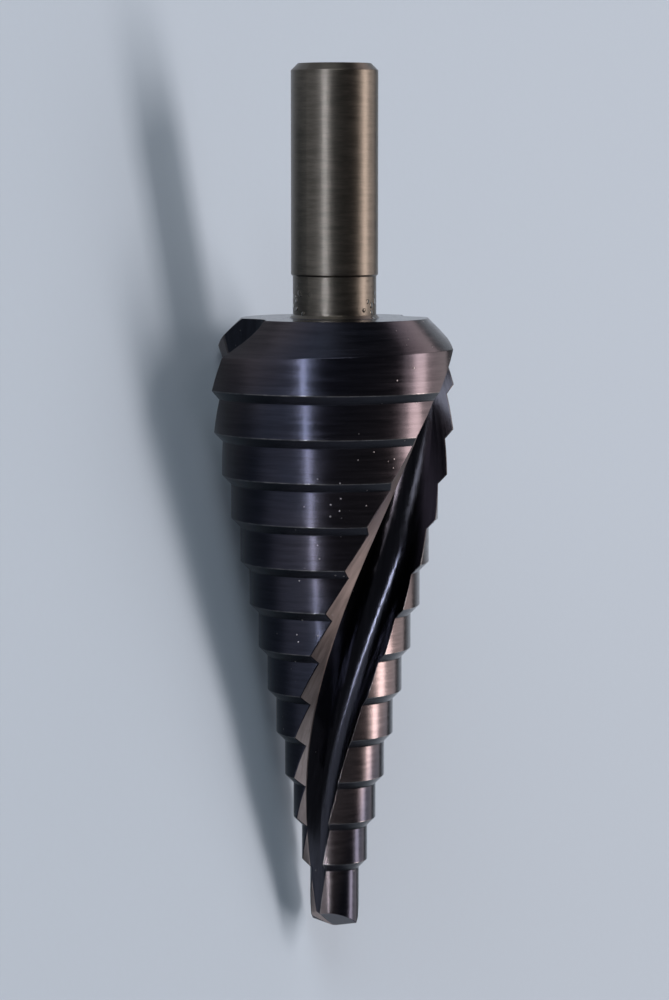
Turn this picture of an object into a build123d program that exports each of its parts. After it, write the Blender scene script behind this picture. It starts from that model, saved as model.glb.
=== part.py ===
"""Spiral-fluted step drill, one piece of hardened high-speed steel.

It is built in the order in which it is made: the blank is turned, each land is ground with relief behind
its lip, two helical flutes are ground from point to back, and the point is ground last. That is done
upright, with the point at the origin and the shank towards +Z. The tool is then laid down in the pose in
which it comes to rest on a flat surface, with its shank towards -X.
Lengths are in millimetres and angles in degrees.
"""

import os
from math import cos, radians, sin, tan

import numpy as np
from build123d import *

# Steps: step 0 is the pilot, and each later one is one rise wider than the one before it.
STEP_COUNT = 13
PILOT_DIAMETER = 6.0
DIAMETER_RISE = 2.0
STEP_PITCH = 5.0
PILOT_LENGTH = 7.0  # from the point to the first cutting cone
CUTTING_ANGLE = 90.0  # full angle of every cutting cone
RELIEF_SHARE = 0.03  # offset of a land's grinding axis, for each millimetre of its radius

# Point
POINT_ANGLE = 118.0
POINT_CLEARANCE_ANGLE = 18.0
SPLIT_ANGLE = 50.0  # how steeply the notch that thins the web rises from the point
SPLIT_START = 0.12  # from the middle of the chisel edge to the start of a notch
SPLIT_WEB = 0.2  # thickness left between the two notches
SPLIT_REACH = 5.0

# Flutes: the lip is at angle 0 at the point, and the groove lies ahead of it.
FLUTE_LEAD = 150.0
FLUTE_ANGLE_AT_POINT = 66.0
FLUTE_ANGLE_AT_BACK = 57.5
CORE_RADIUS_AT_POINT = 0.9
CORE_RADIUS_AT_BACK = 7.6
ROOT_TURN_ANGLE = 20.0  # how far behind the lip the root of the groove lies
ROOT_ROUNDING_SHARE = 0.45  # radius of the root, for each millimetre of the groove's depth
HEEL_FLAT_ANGLE = 17.0  # how far the flat behind the heel reaches into the groove
HEEL_FLAT_SHARE = 0.2  # its depth, for each millimetre of the tool's radius there

# Back and shank
BACK_LAND = 3.8  # length of the widest cylinder
BACK_FACE_DIAMETER = 21.5
BACK_CONE_ANGLE = 45.0
SHANK_DIAMETER = 10.0
SHANK_LENGTH = 29.0
SHANK_CHAMFER = 0.8
NECK_DEPTH = 0.2
NECK_LENGTH = 5.0
NECK_FLARE = 0.4

# Lying pose
LOWER_SIDE_ANGLE = -76.0  # side of the tool that is about lowest when it is put down

# Sizes of cutters and of overlaps, which leave no trace on the tool
OVERLAP = 0.5
CUTTER_MARGIN = 10.0
SECTION_SPACING = 6.0
MESH_TOLERANCE = 0.01
SEARCH_REACH = 0.02
SEARCH_END = 1e-6
SEARCH_COUNT = 48

LAST = STEP_COUNT - 1
TOP_RADIUS = PILOT_DIAMETER / 2 + LAST * DIAMETER_RISE / 2
CONE_SLOPE = tan(radians(CUTTING_ANGLE / 2))
CONE_HEIGHT = DIAMETER_RISE / 2 / CONE_SLOPE
BACK_CONE_LENGTH = (TOP_RADIUS - BACK_FACE_DIAMETER / 2) / tan(radians(BACK_CONE_ANGLE))


def corner_height(step):
    """Height of a step's cutting corner, where its cone meets its cylinder."""
    return PILOT_LENGTH + CONE_HEIGHT + (step - 1) * STEP_PITCH


BACK_EDGE = corner_height(LAST) + BACK_LAND
BACK_FACE = BACK_EDGE + BACK_CONE_LENGTH
SHANK_END = BACK_FACE + SHANK_LENGTH


def between(at_point, at_back, height):
    """Value that changes evenly from the point to the back face."""
    return at_point + (at_back - at_point) * height / BACK_FACE


def lip_angle(height):
    return 360 * height / FLUTE_LEAD


def flute_angle(height):
    return between(FLUTE_ANGLE_AT_POINT, FLUTE_ANGLE_AT_BACK, height)


def cone_radius(height):
    """Radius of the straight cone on which every cutting corner lies."""
    return TOP_RADIUS - (corner_height(LAST) - height) * DIAMETER_RISE / 2 / STEP_PITCH


def polar(radius, angle):
    return Vector(radius * cos(radians(angle)), radius * sin(radians(angle)))


def land(step):
    """One of the two lands of a step, turned about an axis set off ahead of its lip."""
    nominal = (PILOT_DIAMETER + step * DIAMETER_RISE) / 2
    offset = RELIEF_SHARE * nominal
    corner = corner_height(step)
    half_flute = flute_angle(corner) / 2
    radius = nominal - offset * cos(radians(half_flute))
    top = BACK_FACE if step == LAST else corner + STEP_PITCH - CONE_HEIGHT + OVERLAP
    below = CONE_HEIGHT + OVERLAP
    if step == 0:
        foot = [(0, -OVERLAP), (radius, -OVERLAP)]
    else:
        foot = [(0, corner - below), (radius - below * CONE_SLOPE, corner - below), (radius, corner)]
    outline = Plane.XZ * Polyline(*foot, (radius, top), (0, top), close=True)
    half = revolve(make_face(outline), Axis.Z, 180)
    return Rot(0, 0, lip_angle(corner) - half_flute) * Pos(offset, 0, 0) * half


def turned_envelope():
    """Space inside the back cone, down past the point."""
    face = BACK_FACE_DIAMETER / 2
    widest = 2 * TOP_RADIUS
    cone = (widest - face) / tan(radians(BACK_CONE_ANGLE))
    outline = Polyline(
        (0, -widest), (widest, -widest), (widest, BACK_FACE - cone), (face, BACK_FACE), (0, BACK_FACE),
        close=True,
    )
    return revolve(make_face(Plane.XZ * outline), Axis.Z)


def shank():
    """Plain shank, with a shallow grinding neck that flares where it meets the back face."""
    radius = SHANK_DIAMETER / 2
    neck = radius - NECK_DEPTH
    outline = Polyline(
        (0, BACK_FACE - OVERLAP),
        (neck + NECK_FLARE, BACK_FACE - OVERLAP),
        (neck + NECK_FLARE, BACK_FACE),
        (neck, BACK_FACE + NECK_FLARE),
        (neck, BACK_FACE + NECK_LENGTH - NECK_DEPTH),
        (radius, BACK_FACE + NECK_LENGTH),
        (radius, SHANK_END - SHANK_CHAMFER),
        (radius - SHANK_CHAMFER, SHANK_END),
        (0, SHANK_END),
        close=True,
    )
    return revolve(make_face(Plane.XZ * outline), Axis.Z)


def flute_section(height):
    """Section of the groove: rake face, rounded root, wall, and the flat behind the heel."""
    radius = cone_radius(height)
    core = between(CORE_RADIUS_AT_POINT, CORE_RADIUS_AT_BACK, height)
    heel_angle = -flute_angle(height)
    lip, heel = polar(radius, 0), polar(radius, heel_angle)
    root = polar(core, ROOT_TURN_ANGLE)
    flat_edge = polar(radius * (1 - HEEL_FLAT_SHARE), heel_angle + HEEL_FLAT_ANGLE)
    beyond_lip = lip + (lip - root).normalized() * CUTTER_MARGIN
    beyond_heel = heel + (heel - flat_edge).normalized() * CUTTER_MARGIN
    section = make_face(Polyline(beyond_lip, root, flat_edge, beyond_heel, close=True))
    corner = section.vertices().sort_by_distance(root)[0]
    section = fillet(corner, ROOT_ROUNDING_SHARE * (radius - core))
    return Pos(0, 0, height) * Rot(0, 0, lip_angle(height)) * section


def flute_cutter():
    low, high = -OVERLAP, BACK_FACE + OVERLAP
    count = round((high - low) / SECTION_SPACING) + 1
    return loft([flute_section(height) for height in np.linspace(low, high, count)])


def point_wedge():
    """Roof-shaped space above the two flanks of the point, which meet in the chisel edge."""
    along_lip = 1 / tan(radians(POINT_ANGLE / 2))
    behind_lip = tan(radians(POINT_CLEARANCE_ANGLE))
    slope = np.hypot(along_lip, behind_lip)
    half = 2 * TOP_RADIUS
    roof = Polyline((0, 0), (half, half * slope), (half, SHANK_END), (-half, SHANK_END),
                    (-half, half * slope), close=True)
    wedge = extrude(make_face(Plane.XZ * roof), half, both=True)
    return Rot(0, 0, np.degrees(np.arctan2(behind_lip, along_lip))) * wedge


def split_notch():
    """Notch ahead of the first lip, which carries the lip inwards to a short chisel edge."""
    block = Box(SPLIT_REACH, SPLIT_REACH, SPLIT_REACH, align=(Align.MIN, Align.MAX, Align.MAX))
    return Pos(SPLIT_START, -SPLIT_WEB / 2, 0) * Rot(0, -SPLIT_ANGLE, 0) * block


def tool():
    """The whole tool, upright, with its point at the origin."""
    half_turn = Rot(0, 0, 180)
    lands = [land(step) for step in range(STEP_COUNT)]
    body = Part() + [part for one in lands for part in (one, half_turn * one)]
    blank = body & turned_envelope() & point_wedge()
    cutters = [flute_cutter(), split_notch()]
    return blank - cutters - [half_turn * cutter for cutter in cutters] + shank()


def lowest_direction(points, start):
    """Downward direction, near to the start, in which the furthest of the points is least far away."""
    best, reach = start, SEARCH_REACH
    depth = np.max(points @ best)
    while reach > SEARCH_END:
        across = np.cross(best, (0, 0, 1))
        turns = np.linspace(0, 2 * np.pi, SEARCH_COUNT, endpoint=False)
        ring = np.outer(np.cos(turns), across) + np.outer(np.sin(turns), np.cross(best, across))
        trials = best + reach * ring
        trials /= np.linalg.norm(trials, axis=1, keepdims=True)
        depths = np.max(points @ trials.T, axis=0)
        if depths.min() < depth:
            best, depth = trials[depths.argmin()], depths.min()
        else:
            reach /= 2
    return Vector(*best)


def laid_down(upright):
    """The tool as it lies when its centre of mass has come to its lowest, over the origin."""
    centre = upright.center(CenterOf.MASS)
    mesh, _ = upright.tessellate(MESH_TOLERANCE)
    points = np.array([tuple(vertex - centre) for vertex in mesh])
    start = polar(1, LOWER_SIDE_ANGLE) - Vector(0, 0, DIAMETER_RISE / 2 / STEP_PITCH)
    down = lowest_direction(points, np.array(tuple(start.normalized())))
    towards_point = Vector(0, 0, -1) + down * down.Z
    lying = Plane((0, 0, 0), x_dir=towards_point, z_dir=-down).location.inverse() * upright
    box = lying.bounding_box()
    return Pos(-box.center().X, -box.center().Y, -box.min.Z) * lying


if __name__ == "__main__":
    os.makedirs("parts", exist_ok=True)
    export_step(laid_down(tool()), "parts/step_drill.step")
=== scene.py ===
"""Step drill lying on a studio floor: its finish, the floor, the lights and the camera.

The drill is one ground and coated piece. Its finish is worked out in the frame of its own axis, in
millimetres: x and y across the axis, z from the point towards the shank.
"""

from __future__ import annotations

import logging
import math
from dataclasses import dataclass
from enum import Enum
from typing import Any

import bpy
import numpy as np
from mathutils import Matrix, Vector

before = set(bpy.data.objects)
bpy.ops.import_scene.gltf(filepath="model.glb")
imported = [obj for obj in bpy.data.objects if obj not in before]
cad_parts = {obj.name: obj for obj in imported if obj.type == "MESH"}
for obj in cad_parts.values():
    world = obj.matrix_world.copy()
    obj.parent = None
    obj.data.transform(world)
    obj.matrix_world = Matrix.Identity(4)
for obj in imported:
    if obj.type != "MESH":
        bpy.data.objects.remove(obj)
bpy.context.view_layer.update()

LOG = logging.getLogger("step_drill")
MILLIMETRES = 1000.0  # in a metre
BLACK = (0.0, 0.0, 0.0)

# Numbers of a Mix node's sockets: its factor, its two colours and the mixed colour
FACTOR, FIRST, SECOND, MIXED = 0, 6, 7, 2

Colour = tuple[float, float, float]
Point = tuple[float, float, float]
Span = tuple[float, float]  # where something starts, and where it ends


@dataclass(frozen=True)
class Pattern:
    """Noise: waves for each unit of place, number of octaves, and share of each octave in the next."""

    scale: float
    detail: float
    roughness: float = 0.5


class Signal:
    """A shader socket that can be used in arithmetic, each sum or product adding its own node."""

    def __init__(self, shader: Shader, socket: bpy.types.NodeSocket) -> None:
        """Keep the socket and the shader that it belongs to."""
        self.shader = shader
        self.socket = socket

    def math(
        self, operation: str, *others: Signal | float, first: Signal | float | None = None
    ) -> Signal:
        """Add a Math node.

        Args:
            operation: The node's operation.
            others: Values of its second and third sockets.
            first: Value of its first socket, if it isn't this signal.

        Returns:
            The node's result.
        """
        values = [self if first is None else first, *others]
        return self.shader.signal("ShaderNodeMath", {"operation": operation}, dict(enumerate(values)))

    def __add__(self, other: Signal | float) -> Signal:
        """Sum."""
        return self.math("ADD", other)

    def __sub__(self, other: Signal | float) -> Signal:
        """Difference."""
        return self.math("SUBTRACT", other)

    def __rsub__(self, other: float) -> Signal:
        """Difference with the number first."""
        return self.math("SUBTRACT", self, first=other)

    def __mul__(self, other: Signal | float) -> Signal:
        """Product."""
        return self.math("MULTIPLY", other)

    def __truediv__(self, other: Signal | float) -> Signal:
        """Quotient."""
        return self.math("DIVIDE", other)

    def __rtruediv__(self, other: float) -> Signal:
        """Quotient with the number first."""
        return self.math("DIVIDE", self, first=other)

    def __mod__(self, other: Signal | float) -> Signal:
        """Remainder, never negative."""
        return self.math("FLOORED_MODULO", other)

    def __rmod__(self, other: float) -> Signal:
        """Remainder of the number."""
        return self.math("FLOORED_MODULO", self, first=other)

    def __abs__(self) -> Signal:
        """Size without its sign."""
        return self.math("ABSOLUTE")

    __radd__ = __add__
    __rmul__ = __mul__

    def least(self, other: Signal | float) -> Signal:
        """Lesser of the two."""
        return self.math("MINIMUM", other)

    def most(self, other: Signal | float) -> Signal:
        """Greater of the two."""
        return self.math("MAXIMUM", other)

    def rise(self, low: float, high: float, start: float = 0.0, end: float = 1.0) -> Signal:
        """Smooth step from start to end while the signal goes from low to high.

        Args:
            low: Signal at which the step starts.
            high: Signal at which it ends.
            start: Result before the step.
            end: Result after it.

        Returns:
            The stepped signal.
        """
        return self.shader.signal(
            "ShaderNodeMapRange",
            {"interpolation_type": "SMOOTHSTEP"},
            {"Value": self, "From Min": low, "From Max": high, "To Min": start, "To Max": end},
        )

    def fall(self, low: float, high: float, start: float = 1.0) -> Signal:
        """Smooth step down to 0 while the signal goes from low to high."""
        return self.rise(low, high, start, 0.0)


class Shader:
    """A material's or a world's node tree, and the one method that adds its nodes."""

    def __init__(self, tree: bpy.types.NodeTree) -> None:
        """Empty the tree."""
        self.tree = tree
        tree.nodes.clear()

    def node(
        self, kind: str, settings: dict[str, Any] | None = None, sockets: dict[Any, Any] | None = None
    ) -> bpy.types.Node:
        """Add a node.

        Args:
            kind: Type of the node.
            settings: Its properties, set first.
            sockets: Values, signals or outputs for its inputs, by name or number.

        Returns:
            The node.
        """
        node = self.tree.nodes.new(kind)
        for name, value in (settings or {}).items():
            setattr(node, name, value)
        for key, value in (sockets or {}).items():
            target = node.inputs[key]
            if isinstance(value, Signal):
                self.tree.links.new(value.socket, target)
            elif isinstance(value, bpy.types.NodeSocket):
                self.tree.links.new(value, target)
            elif target.type == "RGBA":
                target.default_value = (*value, 1.0)
            else:
                target.default_value = value
        return node

    def signal(
        self, kind: str, settings: dict[str, Any] | None = None, sockets: dict[Any, Any] | None = None,
        output: str | int = 0,
    ) -> Signal:
        """Add a node and take one of its outputs as a signal."""
        return Signal(self, self.node(kind, settings, sockets).outputs[output])

    def mix(self, factor: Signal | float, one: Any, other: Any) -> Signal:
        """Mix two colours, the factor being the share of the second."""
        sockets = {FACTOR: factor, FIRST: one, SECOND: other}
        return self.signal("ShaderNodeMix", {"data_type": "RGBA"}, sockets, MIXED)

    def vector(self, x: Signal | float, y: Signal | float, z: Signal | float) -> Signal:
        """Put three numbers together as a vector."""
        return self.signal("ShaderNodeCombineXYZ", None, {0: x, 1: y, 2: z})

    def dot(self, one: Signal, other: Vector) -> Signal:
        """Product of two directions: how far one goes along the other."""
        sockets = {0: one, 1: other}
        return self.signal("ShaderNodeVectorMath", {"operation": "DOT_PRODUCT"}, sockets, "Value")

    def noise(self, place: Signal, pattern: Pattern) -> Signal:
        """Soft noise between 0 and 1.

        Args:
            place: Where it is read.
            pattern: How fine and how rough it is.

        Returns:
            The noise.
        """
        sockets = {
            "Vector": place,
            "Scale": pattern.scale,
            "Detail": pattern.detail,
            "Roughness": pattern.roughness,
        }
        return self.signal("ShaderNodeTexNoise", None, sockets)

    def cells(self, place: Signal, scale: float) -> tuple[Signal, Signal]:
        """Cells scattered in space.

        Args:
            place: Where they are read.
            scale: Cells for each unit of place.

        Returns:
            The distance from the cell's middle, and a number between 0 and 1 that is the cell's own.
        """
        cells = self.node("ShaderNodeTexVoronoi", None, {"Vector": place, "Scale": scale})
        chance = self.signal("ShaderNodeSeparateColor", None, {0: cells.outputs["Color"]})
        return Signal(self, cells.outputs["Distance"]), chance


@dataclass(frozen=True)
class ToolAxis:
    """Where the drill's axis lies: its point, the direction of its shank, and its turn about that."""

    point_mm: Point = (49.745852659, 0.0, 4.345694568)
    across: Point = (-0.0364250748, -0.9707610067, -0.2372683750)
    aside: Point = (0.1473040161, -0.2400480532, 0.9595199107)
    to_shank: Point = (-0.9884203260, 0.0, 0.1517407633)

    def turn(self) -> Matrix:
        """Rotation from the drill's own frame into the room."""
        return Matrix((self.across, self.aside, self.to_shank)).transposed()

    def place(self, height_mm: float) -> Vector:
        """Point on the axis at a height above the drill's point, in metres."""
        return (Vector(self.point_mm) + height_mm * Vector(self.to_shank)) / MILLIMETRES

    def own_frame(self, shader: Shader) -> Signal:
        """Place on the drill in its own frame, in millimetres: turned back and moved to its point.

        Args:
            shader: The material's nodes.

        Returns:
            The place.
        """
        back = self.turn().transposed()
        sockets = {
            "Vector": shader.signal("ShaderNodeTexCoord", output="Object"),
            "Location": -(back @ Vector(self.point_mm)),
            "Rotation": back.to_euler(),
            "Scale": (MILLIMETRES,) * 3,
        }
        return shader.signal("ShaderNodeMapping", {"vector_type": "POINT"}, sockets)


AXIS = ToolAxis()


@dataclass(frozen=True)
class DrillSizes:
    """Sizes of the drill that its finish follows, in millimetres and degrees."""

    last_step: int = 12
    pilot_radius: float = 3.0
    radius_rise: float = 1.0
    pitch: float = 5.0
    first_corner: float = 3.0
    relief_share: float = 0.03
    lead: float = 150.0
    flute_angle_at_point: float = 66.0
    flute_angle_at_back: float = 57.5
    back_edge: float = 66.8
    back_face: float = 71.05
    top_radius: float = 15.0
    shank_radius: float = 5.0


SIZES = DrillSizes()


@dataclass(frozen=True)
class Spot:
    """A point of the drill's surface: its place, its height h, its distance from the axis and its angle."""

    place: Signal
    h: Signal
    radius: Signal
    angle: Signal

    @classmethod
    def on(cls, shader: Shader) -> Spot:
        """Read the place in the drill's own frame; the radius is the root of x squared plus y squared.

        Args:
            shader: The material's nodes.

        Returns:
            The spot.
        """
        place = AXIS.own_frame(shader)
        split = shader.node("ShaderNodeSeparateXYZ", None, {0: place})
        x, y, h = (Signal(shader, output) for output in split.outputs)
        return cls(place, h, (x * x + y * y).math("SQRT"), y.math("ARCTAN2", x))

    def step(self) -> Signal:
        """Number of the step: one for each pitch above the foot of the first cone."""
        start = SIZES.first_corner - SIZES.radius_rise
        return ((self.h - start) / SIZES.pitch).math("FLOOR").most(0.0).least(SIZES.last_step)

    def corner(self) -> Signal:
        """Height of the step's cutting corner."""
        return SIZES.first_corner + self.step() * SIZES.pitch

    def behind_lip(self) -> Signal:
        """Angle behind the nearer lip, up to half a turn; the lips climb one turn in each lead."""
        return (self.angle - self.h * (math.tau / SIZES.lead)) % math.pi

    @staticmethod
    def flute_angle(height: Signal) -> Signal:
        """Angle that the flute takes up at a height, in radians: it falls evenly towards the back."""
        fall = (SIZES.flute_angle_at_point - SIZES.flute_angle_at_back) / SIZES.back_face
        return (SIZES.flute_angle_at_point - height * fall) * math.radians(1.0)

    def before_heel(self) -> Signal:
        """Angle still to go to the heel, in radians, which is below 0 in the flute."""
        return math.pi - self.behind_lip() - self.flute_angle(self.h)

    def land_reach(self) -> Signal:
        """Radius of the ground land or cone at this height and angle.

        A land is a cylinder about an axis that is set off from the drill's own, so it reaches as far as
        its radius plus the offset times the cosine of the angle from the offset.

        Returns:
            The radius.
        """
        step, corner = self.step(), self.corner()
        nominal = SIZES.pilot_radius + step * SIZES.radius_rise
        offset = nominal * SIZES.relief_share
        half_flute = self.flute_angle(corner) * 0.5
        below = (corner - self.h).most(0.0) * step.least(1.0)
        turned = (self.angle - corner * (math.tau / SIZES.lead) + half_flute) % math.pi
        reach = nominal - offset * half_flute.math("COSINE") - below + offset * turned.math("COSINE")
        return reach.least(SIZES.top_radius + SIZES.back_edge - self.h)


@dataclass(frozen=True)
class ZoneEdges:
    """Where each mask starts and ends, in millimetres, and in radians across the heel."""

    off_land: Span = (0.06, 0.12)
    at_corner: Span = (-0.03, 0.03)
    above_back_face: Span = (0.02, 0.06)
    off_shank: Span = (5.6, 5.8)
    into_flute: Span = (-0.32, -0.30)
    onto_land: Span = (0.10, 0.14)
    below_back_face: Span = (-0.06, -0.02)
    off_corner: Span = (0.02, 0.12)
    off_lip: Span = (0.05, 0.22)


@dataclass(frozen=True)
class Zones:
    """Masks of the drill's ground surfaces, 1 on the surface and 0 off it."""

    land: Signal
    cone: Signal
    shank: Signal
    heel: Signal
    corner_edge: Signal
    lip_edge: Signal

    @classmethod
    def of(cls, spot: Spot, edges: ZoneEdges) -> Zones:
        """Work the masks out: the lands are where the surface is as far out as a land reaches.

        Args:
            spot: The place on the drill.
            edges: Where the masks start and end.

        Returns:
            The masks.
        """
        land = (spot.land_reach() - spot.radius).fall(*edges.off_land)
        under_corner = spot.corner() - spot.h
        above_pilot = spot.step().least(1.0)
        above_back = spot.h - SIZES.back_face
        before_heel = spot.before_heel()
        across_heel = before_heel.rise(*edges.into_flute) * before_heel.fall(*edges.onto_land)
        return cls(
            land=land,
            cone=land * under_corner.rise(*edges.at_corner) * above_pilot,
            shank=above_back.rise(*edges.above_back_face) * spot.radius.fall(*edges.off_shank),
            heel=(1.0 - land) * across_heel * above_back.fall(*edges.below_back_face),
            corner_edge=land * abs(under_corner).fall(*edges.off_corner) * above_pilot,
            lip_edge=land * (spot.behind_lip() * spot.radius).fall(*edges.off_lip),
        )

    def turned(self) -> Signal:
        """Mask of all that was ground round the axis."""
        return self.land.most(self.shank)


class Grinding(Enum):
    """Which way the wheel ran over a surface."""

    ROUND = "round the axis"
    ALONG = "along the flute"


@dataclass(frozen=True)
class GrindingMarks:
    """Marks that the wheel left, with the waves of their noise in a millimetre or a radian."""

    pattern: Pattern = Pattern(1.0, 5.0, 0.72)
    circle: float = 1.6  # radius, in waves, of the circle round which a ring is read
    up_the_axis: float = 2.4
    out_from_axis: float = 3.6
    across_flute: float = 9.0
    down_flute_wall: float = 2.6
    along_flute: float = 0.05
    strength: float = 0.6
    relief: float = 0.00002  # in metres

    def depth(self, shader: Shader, spot: Spot, way: Grinding) -> Signal:
        """Depth of the marks: noise that changes slowly the way the wheel ran and quickly across it.

        Args:
            shader: The material's nodes.
            spot: The place on the drill.
            way: Which way the wheel ran.

        Returns:
            The depth, between 0 and 1.
        """
        if way is Grinding.ROUND:
            circle = spot.radius.least(SIZES.pilot_radius) * (self.circle / SIZES.pilot_radius)
            out = spot.radius.least(SIZES.shank_radius) * self.out_from_axis
            place = shader.vector(
                spot.angle.math("COSINE") * circle,
                spot.angle.math("SINE") * circle,
                spot.h * self.up_the_axis + out,
            )
        else:
            place = shader.vector(
                spot.behind_lip() * self.across_flute,
                spot.radius * self.down_flute_wall,
                spot.h * self.along_flute,
            )
        return shader.noise(place, self.pattern)

    def over(self, shader: Shader, spot: Spot, turned: Signal) -> Signal:
        """Depth of the marks over the whole drill.

        Args:
            shader: The material's nodes.
            spot: The place on the drill.
            turned: Mask of what was ground round the axis.

        Returns:
            The depth, between 0 and 1.
        """
        rings = self.depth(shader, spot, Grinding.ROUND)
        strokes = self.depth(shader, spot, Grinding.ALONG)
        return rings * turned + strokes * (1.0 - turned)


@dataclass(frozen=True)
class OilFilm:
    """Beads of cutting oil that have gathered where the shank meets the back face, in millimetres."""

    bottom: Span = (70.9, 71.0)
    top: Span = (72.0, 75.5)
    reach: Span = (6.5, 7.5)
    net: float = 1.3  # cells for each millimetre
    chosen: Span = (0.15, 0.9)
    widest: float = 0.46
    height: float = 0.4
    bare_side: float = 0.72  # angle about the axis from which the beads have run, in radians
    wet_sides: Span = (0.5, 0.8)
    least_size: float = 0.001
    film: Span = (0.0, 0.03)

    def drops(self, shader: Shader, spot: Spot) -> Signal:
        """Height of the beads.

        Each bead is a dome in a cell of a loose net: its height is the root of 1 less the square of
        the distance from the cell's middle, and its size is chosen by the cell.

        Args:
            shader: The material's nodes.
            spot: The place on the drill.

        Returns:
            The height in millimetres.
        """
        distance, chance = shader.cells(spot.place, self.net)
        size = chance.rise(*self.chosen, 0.0, self.widest)
        share = distance / (size + self.least_size)
        dome = (1.0 - share * share).most(0.0).math("SQRT") * size
        sides = abs((spot.angle - self.bare_side).math("SINE")).rise(*self.wet_sides)
        neck = spot.h.rise(*self.bottom) * spot.h.fall(*self.top) * spot.radius.fall(*self.reach)
        return dome * sides * neck * self.height

    def wet(self, drops: Signal) -> Signal:
        """Mask of what the oil covers."""
        return drops.rise(*self.film)


@dataclass(frozen=True)
class SteelDust:
    """Specks of steel that cling near the heels."""

    net: float = 1.3  # cells for each millimetre
    speck: Span = (0.06, 0.16)
    chosen: Span = (0.76, 0.80)
    middle: float = 0.1  # angle before the heel round which they lie, in radians
    spread: Span = (0.25, 0.75)
    height: float = 0.02  # in millimetres
    cover: float = 0.7

    def specks(self, shader: Shader, spot: Spot, zones: Zones) -> Signal:
        """Mask of the specks: the middles of a few cells of a fine net.

        Args:
            shader: The material's nodes.
            spot: The place on the drill.
            zones: The masks of its surfaces.

        Returns:
            The mask.
        """
        distance, chance = shader.cells(spot.place, self.net)
        near = abs(spot.before_heel() - self.middle).fall(*self.spread)
        return distance.fall(*self.speck) * chance.rise(*self.chosen) * near * (1.0 - zones.shank)


@dataclass(frozen=True)
class Roughness:
    """Roughness of the polished coating, what each surface and layer adds to it, and that of oil."""

    polished: float = 0.07
    marks: float = 0.24
    cloud: float = 0.05
    clouds: Pattern = Pattern(0.5, 2.0)
    flute: float = -0.04
    heel: float = 0.24
    shank: float = 0.12
    corner_edge: float = -0.05
    dust: float = 0.3
    oil: float = 0.05

    def over(self, zones: Zones, marks: Signal, cloud: Signal, dust: Signal, wet: Signal) -> Signal:
        """Roughness over the whole drill.

        Args:
            zones: The masks of its surfaces.
            marks: Depth of the grinding marks.
            cloud: Soft noise.
            dust: Mask of the dust.
            wet: Mask of the oil.

        Returns:
            The roughness.
        """
        dry = (
            self.polished
            + marks * self.marks
            + cloud * self.cloud
            + (1.0 - zones.turned()) * self.flute
            + zones.heel * self.heel
            + zones.shank * self.shank
            + zones.corner_edge * self.corner_edge
            + dust * self.dust
        )
        return dry * (1.0 - wet) + wet * self.oil


@dataclass(frozen=True)
class Wear:
    """How far the coating has changed colour and worn, and where highlights are painted on it: shares, and
    spans in millimetres and radians.
    """

    clouds: Pattern = Pattern(0.12, 2.0)
    cloud_span: Span = (0.3, 0.75)
    warm: float = 0.6
    lip_tint: float = 0.8
    lip_tint_span: Span = (0.0, 0.8)
    upper_steps: Span = (30.0, 60.0)
    # Painted highlight: share of copper near the heels of the upper steps, where the warm overhead lamp's
    # highlight lies
    heel_highlight: float = 0.5
    heel_highlight_span: Span = (0.0, 1.0)
    lower_steps: Span = (18.0, 44.0)
    # Painted highlight: share of pale copper near the lips of the lower steps, where the lamps light them
    lip_highlight: float = 0.8
    lip_highlight_span: Span = (0.0, 1.0)
    heel: float = 0.9
    heel_less_above: float = 0.45
    patches: Pattern = Pattern(0.7, 3.0, 0.6)
    patch_span: Span = (0.35, 0.65)
    least_patch: float = 0.35
    # Corners and lips: bare steel where the coating wore, and partly a painted glint along these edges
    corner: float = 0.42
    lip: float = 0.55
    mark_span: Span = (0.3, 0.7)
    mark_shade: float = 0.3

    def edges(self, shader: Shader, spot: Spot, zones: Zones) -> Signal:
        """Share of bare steel on the corners and lips, partly worn coating and partly a painted glint along
        the edges, more of it in some patches than in others.

        Args:
            shader: The material's nodes.
            spot: The place on the drill.
            zones: The masks of its surfaces.

        Returns:
            The share.
        """
        patch = shader.noise(spot.place, self.patches).rise(*self.patch_span, self.least_patch, 1.0)
        return (zones.corner_edge * self.corner).most(zones.lip_edge * self.lip) * patch


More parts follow.
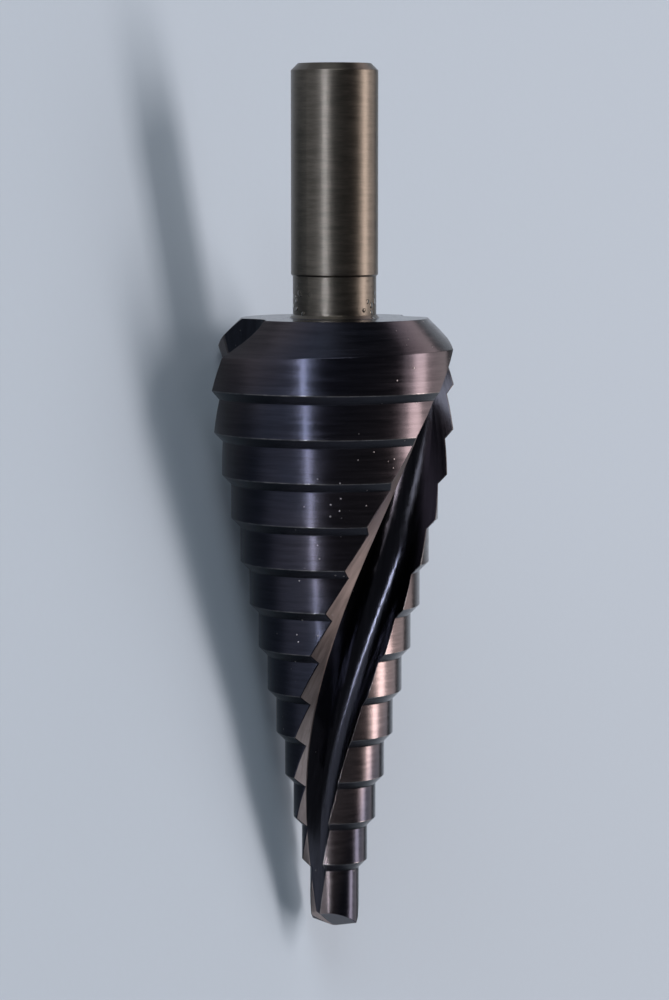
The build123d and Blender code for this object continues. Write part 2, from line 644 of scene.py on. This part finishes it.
@dataclass(frozen=True)
class CoatedSteel:
    """Dark violet hard coating on ground high-speed steel, with bare metal where it has worn through,
    painted shade on the cones and painted highlights on the lands.
    """

    name: str = "coated_steel"
    coat: Colour = (0.043, 0.045, 0.062)
    coat_warm: Colour = (0.052, 0.047, 0.060)
    # Warm tint near the lips; near the heels of the upper steps this copper is a painted highlight
    copper_tint_and_highlight: Colour = (0.150, 0.115, 0.110)
    # Painted shade: the cones that face the point are darker, as if they faced a dark surface
    cone: Colour = (0.026, 0.026, 0.034)
    flute: Colour = (0.058, 0.057, 0.070)
    heel: Colour = (0.44, 0.355, 0.325)
    # Bare steel for worn edges and dust specks; along the edges it is also a painted glint
    bare: Colour = (0.48, 0.44, 0.42)
    shank: Colour = (0.125, 0.108, 0.088)
    # Painted highlight near the lips of the lower steps
    lower_lip_highlight: Colour = (0.31, 0.245, 0.235)
    honed_radius: float = 0.00012  # in metres
    honed_samples: int = 4
    edges: ZoneEdges = ZoneEdges()
    marks: GrindingMarks = GrindingMarks()
    oil: OilFilm = OilFilm()
    dust: SteelDust = SteelDust()
    roughness: Roughness = Roughness()
    wear: Wear = Wear()

    def make(self) -> bpy.types.Material:
        """Build the material.

        Returns:
            The material.
        """
        material = bpy.data.materials.new(self.name)
        material.use_nodes = True
        shader = Shader(material.node_tree)
        spot = Spot.on(shader)
        zones = Zones.of(spot, self.edges)
        marks = self.marks.over(shader, spot, zones.turned())
        drops = self.oil.drops(shader, spot)
        dust = self.dust.specks(shader, spot, zones)
        cloud = shader.noise(spot.place, self.roughness.clouds)
        tone = self._tone(shader, spot, zones, marks)
        sockets = {
            "Base Color": shader.mix(dust * self.dust.cover, tone, self.bare),
            "Metallic": 1.0,
            "Roughness": self.roughness.over(zones, marks, cloud, dust, self.oil.wet(drops)),
            "Normal": self._relief(shader, marks, drops + dust * self.dust.height),
        }
        surface = shader.node("ShaderNodeBsdfPrincipled", None, sockets)
        shader.node("ShaderNodeOutputMaterial", None, {0: surface.outputs[0]})
        return material

    def _relief(self, shader: Shader, marks: Signal, raised: Signal) -> Signal:
        """Normal of the edges, which are honed to a small radius, with the marks and what lies on them.

        Args:
            shader: The material's nodes.
            marks: Depth of the grinding marks.
            raised: Height of what lies on the steel, in millimetres.

        Returns:
            The normal.
        """
        settings = {"samples": self.honed_samples}
        honed = shader.signal("ShaderNodeBevel", settings, {"Radius": self.honed_radius})
        strength, relief = self.marks.strength, self.marks.relief
        sockets = {"Strength": strength, "Distance": relief, "Height": marks, "Normal": honed}
        ground = shader.signal("ShaderNodeBump", None, sockets)
        sockets = {"Strength": 1.0, "Distance": 1.0 / MILLIMETRES, "Height": raised, "Normal": ground}
        return shader.signal("ShaderNodeBump", None, sockets)

    def _tone(self, shader: Shader, spot: Spot, zones: Zones, marks: Signal) -> Signal:
        """Colour of the coating and of the bare places, with painted highlights on the lands and painted
        shade on the cones.

        Args:
            shader: The material's nodes.
            spot: The place on the drill.
            zones: The masks of its surfaces.
            marks: Depth of the grinding marks.

        Returns:
            The colour.
        """
        wear = self.wear
        behind_lip = spot.behind_lip()
        upper = spot.h.rise(*wear.upper_steps)
        lower = spot.h.fall(*wear.lower_steps)
        cloud = shader.noise(spot.place, wear.clouds).rise(*wear.cloud_span)
        tone = shader.mix(cloud * wear.warm, self.coat, self.coat_warm)
        tone = shader.mix(behind_lip.fall(*wear.lip_tint_span, wear.lip_tint), tone, self.copper_tint_and_highlight)
        # Painted highlight: copper near the heel on the upper steps
        by_heel = spot.before_heel().fall(*wear.heel_highlight_span, wear.heel_highlight)
        tone = shader.mix(by_heel * upper, tone, self.copper_tint_and_highlight)
        # Painted highlight: pale copper near the lip on the lower steps
        by_lip = behind_lip.fall(*wear.lip_highlight_span, wear.lip_highlight)
        tone = shader.mix(by_lip * lower, tone, self.lower_lip_highlight)
        # Painted shade: darker colour on the cones
        tone = shader.mix(zones.cone, tone, self.cone)
        tone = shader.mix(1.0 - zones.land, tone, self.flute)
        tone = shader.mix(zones.heel * (wear.heel - upper * wear.heel_less_above), tone, self.heel)
        # Bare steel on worn corners and lips, partly a painted glint along the edges
        tone = shader.mix(wear.edges(shader, spot, zones), tone, self.bare)
        tone = shader.mix(zones.shank, tone, self.shank)
        return shader.mix(marks.fall(*wear.mark_span, wear.mark_shade), tone, BLACK)


@dataclass(frozen=True)
class StepDrill:
    """The drill, one solid of ground and coated steel."""

    node: str = "step_drill"
    steel: CoatedSteel = CoatedSteel()

    def dress(self) -> bpy.types.Object:
        """Give the solid its coated steel.

        Returns:
            The solid's object.
        """
        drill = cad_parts[self.node]
        material = self.steel.make()
        for slot in drill.material_slots:
            slot.material = material
        return drill


@dataclass(frozen=True)
class PaleFloor:
    """Wide matt floor in pale blue-grey, with a faint grain."""

    name: str = "floor"
    size: float = 6.0
    side_points: int = 3
    colour: Colour = (0.52, 0.612, 0.693)
    grain_colour: Colour = (0.48, 0.52, 0.58)
    grain: Pattern = Pattern(900.0, 3.0)
    grain_span: Span = (0.3, 0.7)
    grain_share: float = 0.04
    roughness: float = 0.85

    def build(self) -> bpy.types.Object:
        """Build the floor as a grid whose height is zero everywhere.

        Returns:
            The floor's object.
        """
        line = np.linspace(-self.size / 2, self.size / 2, self.side_points)
        x, y = np.meshgrid(line, line)
        points = np.stack([x, y, np.zeros_like(x)], axis=-1).reshape(-1, 3)
        corner = np.arange(x.size).reshape(x.shape)
        around = [corner[:-1, :-1], corner[:-1, 1:], corner[1:, 1:], corner[1:, :-1]]
        faces = np.stack(around, axis=-1).reshape(-1, 4)
        mesh = bpy.data.meshes.new(self.name)
        mesh.from_pydata(points.tolist(), [], faces.tolist())
        mesh.materials.append(self._matt())
        floor = bpy.data.objects.new(self.name, mesh)
        bpy.context.scene.collection.objects.link(floor)
        return floor

    def _matt(self) -> bpy.types.Material:
        """Build the floor's material.

        Returns:
            The material.
        """
        material = bpy.data.materials.new(self.name)
        material.use_nodes = True
        shader = Shader(material.node_tree)
        grain = shader.noise(shader.signal("ShaderNodeTexCoord", output="Object"), self.grain)
        tone = shader.mix(grain.rise(*self.grain_span) * self.grain_share, self.colour, self.grain_colour)
        sockets = {"Base Color": tone, "Roughness": self.roughness}
        surface = shader.node("ShaderNodeBsdfPrincipled", None, sockets)
        shader.node("ShaderNodeOutputMaterial", None, {0: surface.outputs[0]})
        return material


@dataclass(frozen=True)
class View:
    """Camera that sees the drill with its shank upwards in the picture."""

    place: Point = (-0.0132, -0.3455, 0.1815)
    middle_mm: float = 50.0
    lens: float = 120.0
    sensor_height: float = 36.0
    nearest: float = 0.01
    furthest: float = 50.0

    def facing(self) -> tuple[Vector, Vector]:
        """Work out which way the camera stands from the drill.

        Returns:
            The direction from the drill to the camera, and that to the right of the picture.
        """
        back = (Vector(self.place) - AXIS.place(self.middle_mm)).normalized()
        right = Vector(AXIS.to_shank).cross(back).normalized()
        return back, right

    def build(self) -> bpy.types.Object:
        """Build the camera: it looks at the drill's middle, with its upward side towards the shank.

        Returns:
            The camera's object.
        """
        back, right = self.facing()
        camera = bpy.data.cameras.new("camera")
        camera.sensor_fit = "VERTICAL"
        camera.sensor_height = self.sensor_height
        camera.lens = self.lens
        camera.clip_start = self.nearest
        camera.clip_end = self.furthest
        seen = bpy.data.objects.new("camera", camera)
        turn = Matrix((right, back.cross(right), back)).transposed()
        seen.matrix_world = Matrix.Translation(Vector(self.place)) @ turn.to_4x4()
        bpy.context.scene.collection.objects.link(seen)
        bpy.context.scene.camera = seen
        return seen


@dataclass(frozen=True)
class SoftBox:
    """A soft rectangular lamp, aimed at the drill from an angle about its axis.

    The angle, in degrees, is 0 at the camera and grows to the right of the picture. Lengths are in
    metres, and along is how far the lamp stands towards the shank.
    """

    name: str
    angle: float
    along: float
    distance: float
    length: float
    width: float
    radiance: float
    colour: Colour
    aim_mm: float = 45.0

    def build(self, view: View) -> bpy.types.Object:
        """Build the lamp; a flat lamp's power is pi times its area times its radiance.

        Args:
            view: The camera.

        Returns:
            The lamp's object.
        """
        back, right = view.facing()
        shank = Vector(AXIS.to_shank)
        aim = AXIS.place(self.aim_mm)
        turn = math.radians(self.angle)
        out = math.cos(turn) * back + math.sin(turn) * right
        out = (out - out.dot(shank) * shank).normalized()
        place = aim + self.distance * out + self.along * shank
        lamp = bpy.data.lights.new(self.name, "AREA")
        lamp.shape = "RECTANGLE"
        lamp.size = self.length
        lamp.size_y = self.width
        lamp.energy = math.pi * self.length * self.width * self.radiance
        lamp.color = self.colour
        towards = (place - aim).normalized()
        side = (shank - shank.dot(towards) * towards).normalized()
        facing = Matrix((side, towards.cross(side), towards)).transposed()
        box = bpy.data.objects.new(self.name, lamp)
        box.matrix_world = Matrix.Translation(place) @ facing.to_4x4()
        box.visible_camera = False
        bpy.context.scene.collection.objects.link(box)
        return box


LAMPS = (
    SoftBox(
        name="warm_overhead", angle=88.0, along=0.05, distance=0.9, length=0.9, width=0.23,
        radiance=6.6, colour=(1.0, 0.88, 0.86),
    ),
    SoftBox(
        name="cool_fill", angle=-5.0, along=1.1, distance=0.9, length=0.9, width=0.9,
        radiance=3.6, colour=(0.88, 0.92, 0.97),
    ),
    SoftBox(
        name="warm_back", angle=135.0, along=0.9, distance=0.9, length=0.5, width=0.4,
        radiance=1.6, colour=(1.0, 0.86, 0.88),
    ),
)


@dataclass(frozen=True)
class FarStrip:
    """Cool strip of light, far away and low over the floor, along the drill.

    The angles are in degrees, counted from the camera as those of the lamps are.
    """

    angle: float = -25.3
    height: float = 3.5
    height_edge: float = 0.2
    length: float = 68.0
    end_edge: float = 0.02
    radiance: float = 38.0
    colour: Colour = (0.78, 0.85, 1.0)

    def over(self, shader: Shader, towards: Signal, room: Signal, view: View) -> Signal:
        """Lay the strip over the room, where reflections and light find it and the camera doesn't.

        A direction lies in the strip where its angle about the drill's axis and its share along the
        axis are both within the strip's bounds.

        Args:
            shader: The world's nodes.
            towards: Direction of the ray.
            room: Colour of the room without the strip.
            view: The camera.

        Returns:
            The colour of the room with it.
        """
        back, right = view.facing()
        shank = Vector(AXIS.to_shank)
        level = (back - back.dot(shank) * shank).normalized()
        angle = shader.dot(towards, right).math("ARCTAN2", shader.dot(towards, level))
        off = abs(angle - math.radians(self.angle)) * math.degrees(1.0)
        half, end = self.height / 2, math.sin(math.radians(self.length / 2))
        within = off.fall(half - self.height_edge, half + self.height_edge)
        along = abs(shader.dot(towards, shank)).fall(end - self.end_edge, end + self.end_edge)
        unseen = 1.0 - shader.signal("ShaderNodeLightPath", output="Is Camera Ray")
        glow = tuple(self.radiance * part for part in self.colour)
        return shader.mix(within * along * unseen, room, glow)


@dataclass(frozen=True)
class Room:
    """Even wash of light over the whole floor, and a dim room above a pale band at the horizon."""

    wash_angle: float = 100.0
    wash_spread: float = 60.0
    wash_strength: float = 1.0
    wash_colour: Colour = (1.0, 0.93, 0.93)
    above: Colour = (0.07, 0.075, 0.085)
    horizon: Colour = (0.50, 0.56, 0.62)
    horizon_span: Span = (0.05, 0.30)
    strip: FarStrip = FarStrip()

    def wash(self, view: View) -> bpy.types.Object:
        """Build the wash, a distant lamp with a wide disc.

        Args:
            view: The camera.

        Returns:
            The lamp's object.
        """
        back, right = view.facing()
        turn = math.radians(self.wash_angle)
        out = math.cos(turn) * back + math.sin(turn) * right
        sun = bpy.data.lights.new("wash", "SUN")
        sun.energy = self.wash_strength
        sun.angle = math.radians(self.wash_spread)
        sun.color = self.wash_colour
        wash = bpy.data.objects.new("wash", sun)
        wash.matrix_world = out.to_track_quat("Z", "Y").to_matrix().to_4x4()
        bpy.context.scene.collection.objects.link(wash)
        return wash

    def surround(self, view: View) -> bpy.types.World:
        """Build what stands round the floor: its colour changes with the height over the horizon.

        Args:
            view: The camera.

        Returns:
            The world.
        """
        world = bpy.data.worlds.new("room")
        world.use_nodes = True
        shader = Shader(world.node_tree)
        towards = shader.signal("ShaderNodeTexCoord", output="Generated")
        up = shader.signal("ShaderNodeSeparateXYZ", None, {0: towards}, 2)
        room = shader.mix(up.rise(*self.horizon_span), self.horizon, self.above)
        tone = self.strip.over(shader, towards, room, view)
        glow = shader.node("ShaderNodeBackground", None, {"Color": tone, "Strength": 1.0})
        shader.node("ShaderNodeOutputWorld", None, {0: glow.outputs[0]})
        bpy.context.scene.world = world
        return world


def main() -> None:
    """Dress the drill and build its studio."""
    logging.basicConfig(level=logging.INFO, format="%(message)s")
    drill = StepDrill().dress()
    LOG.info("%s: coated steel, %d faces", drill.name, len(drill.data.polygons))
    view = View()
    LOG.info("camera: %s", view.build().name)
    LOG.info("floor: %s", PaleFloor().build().name)
    for lamp in LAMPS:
        LOG.info("lamp: %s", lamp.build(view).name)
    room = Room()
    LOG.info("lamp: %s", room.wash(view).name)
    LOG.info("world: %s", room.surround(view).name)
    bpy.context.scene.view_settings.view_transform = "Standard"


if __name__ == "__main__":
    main()
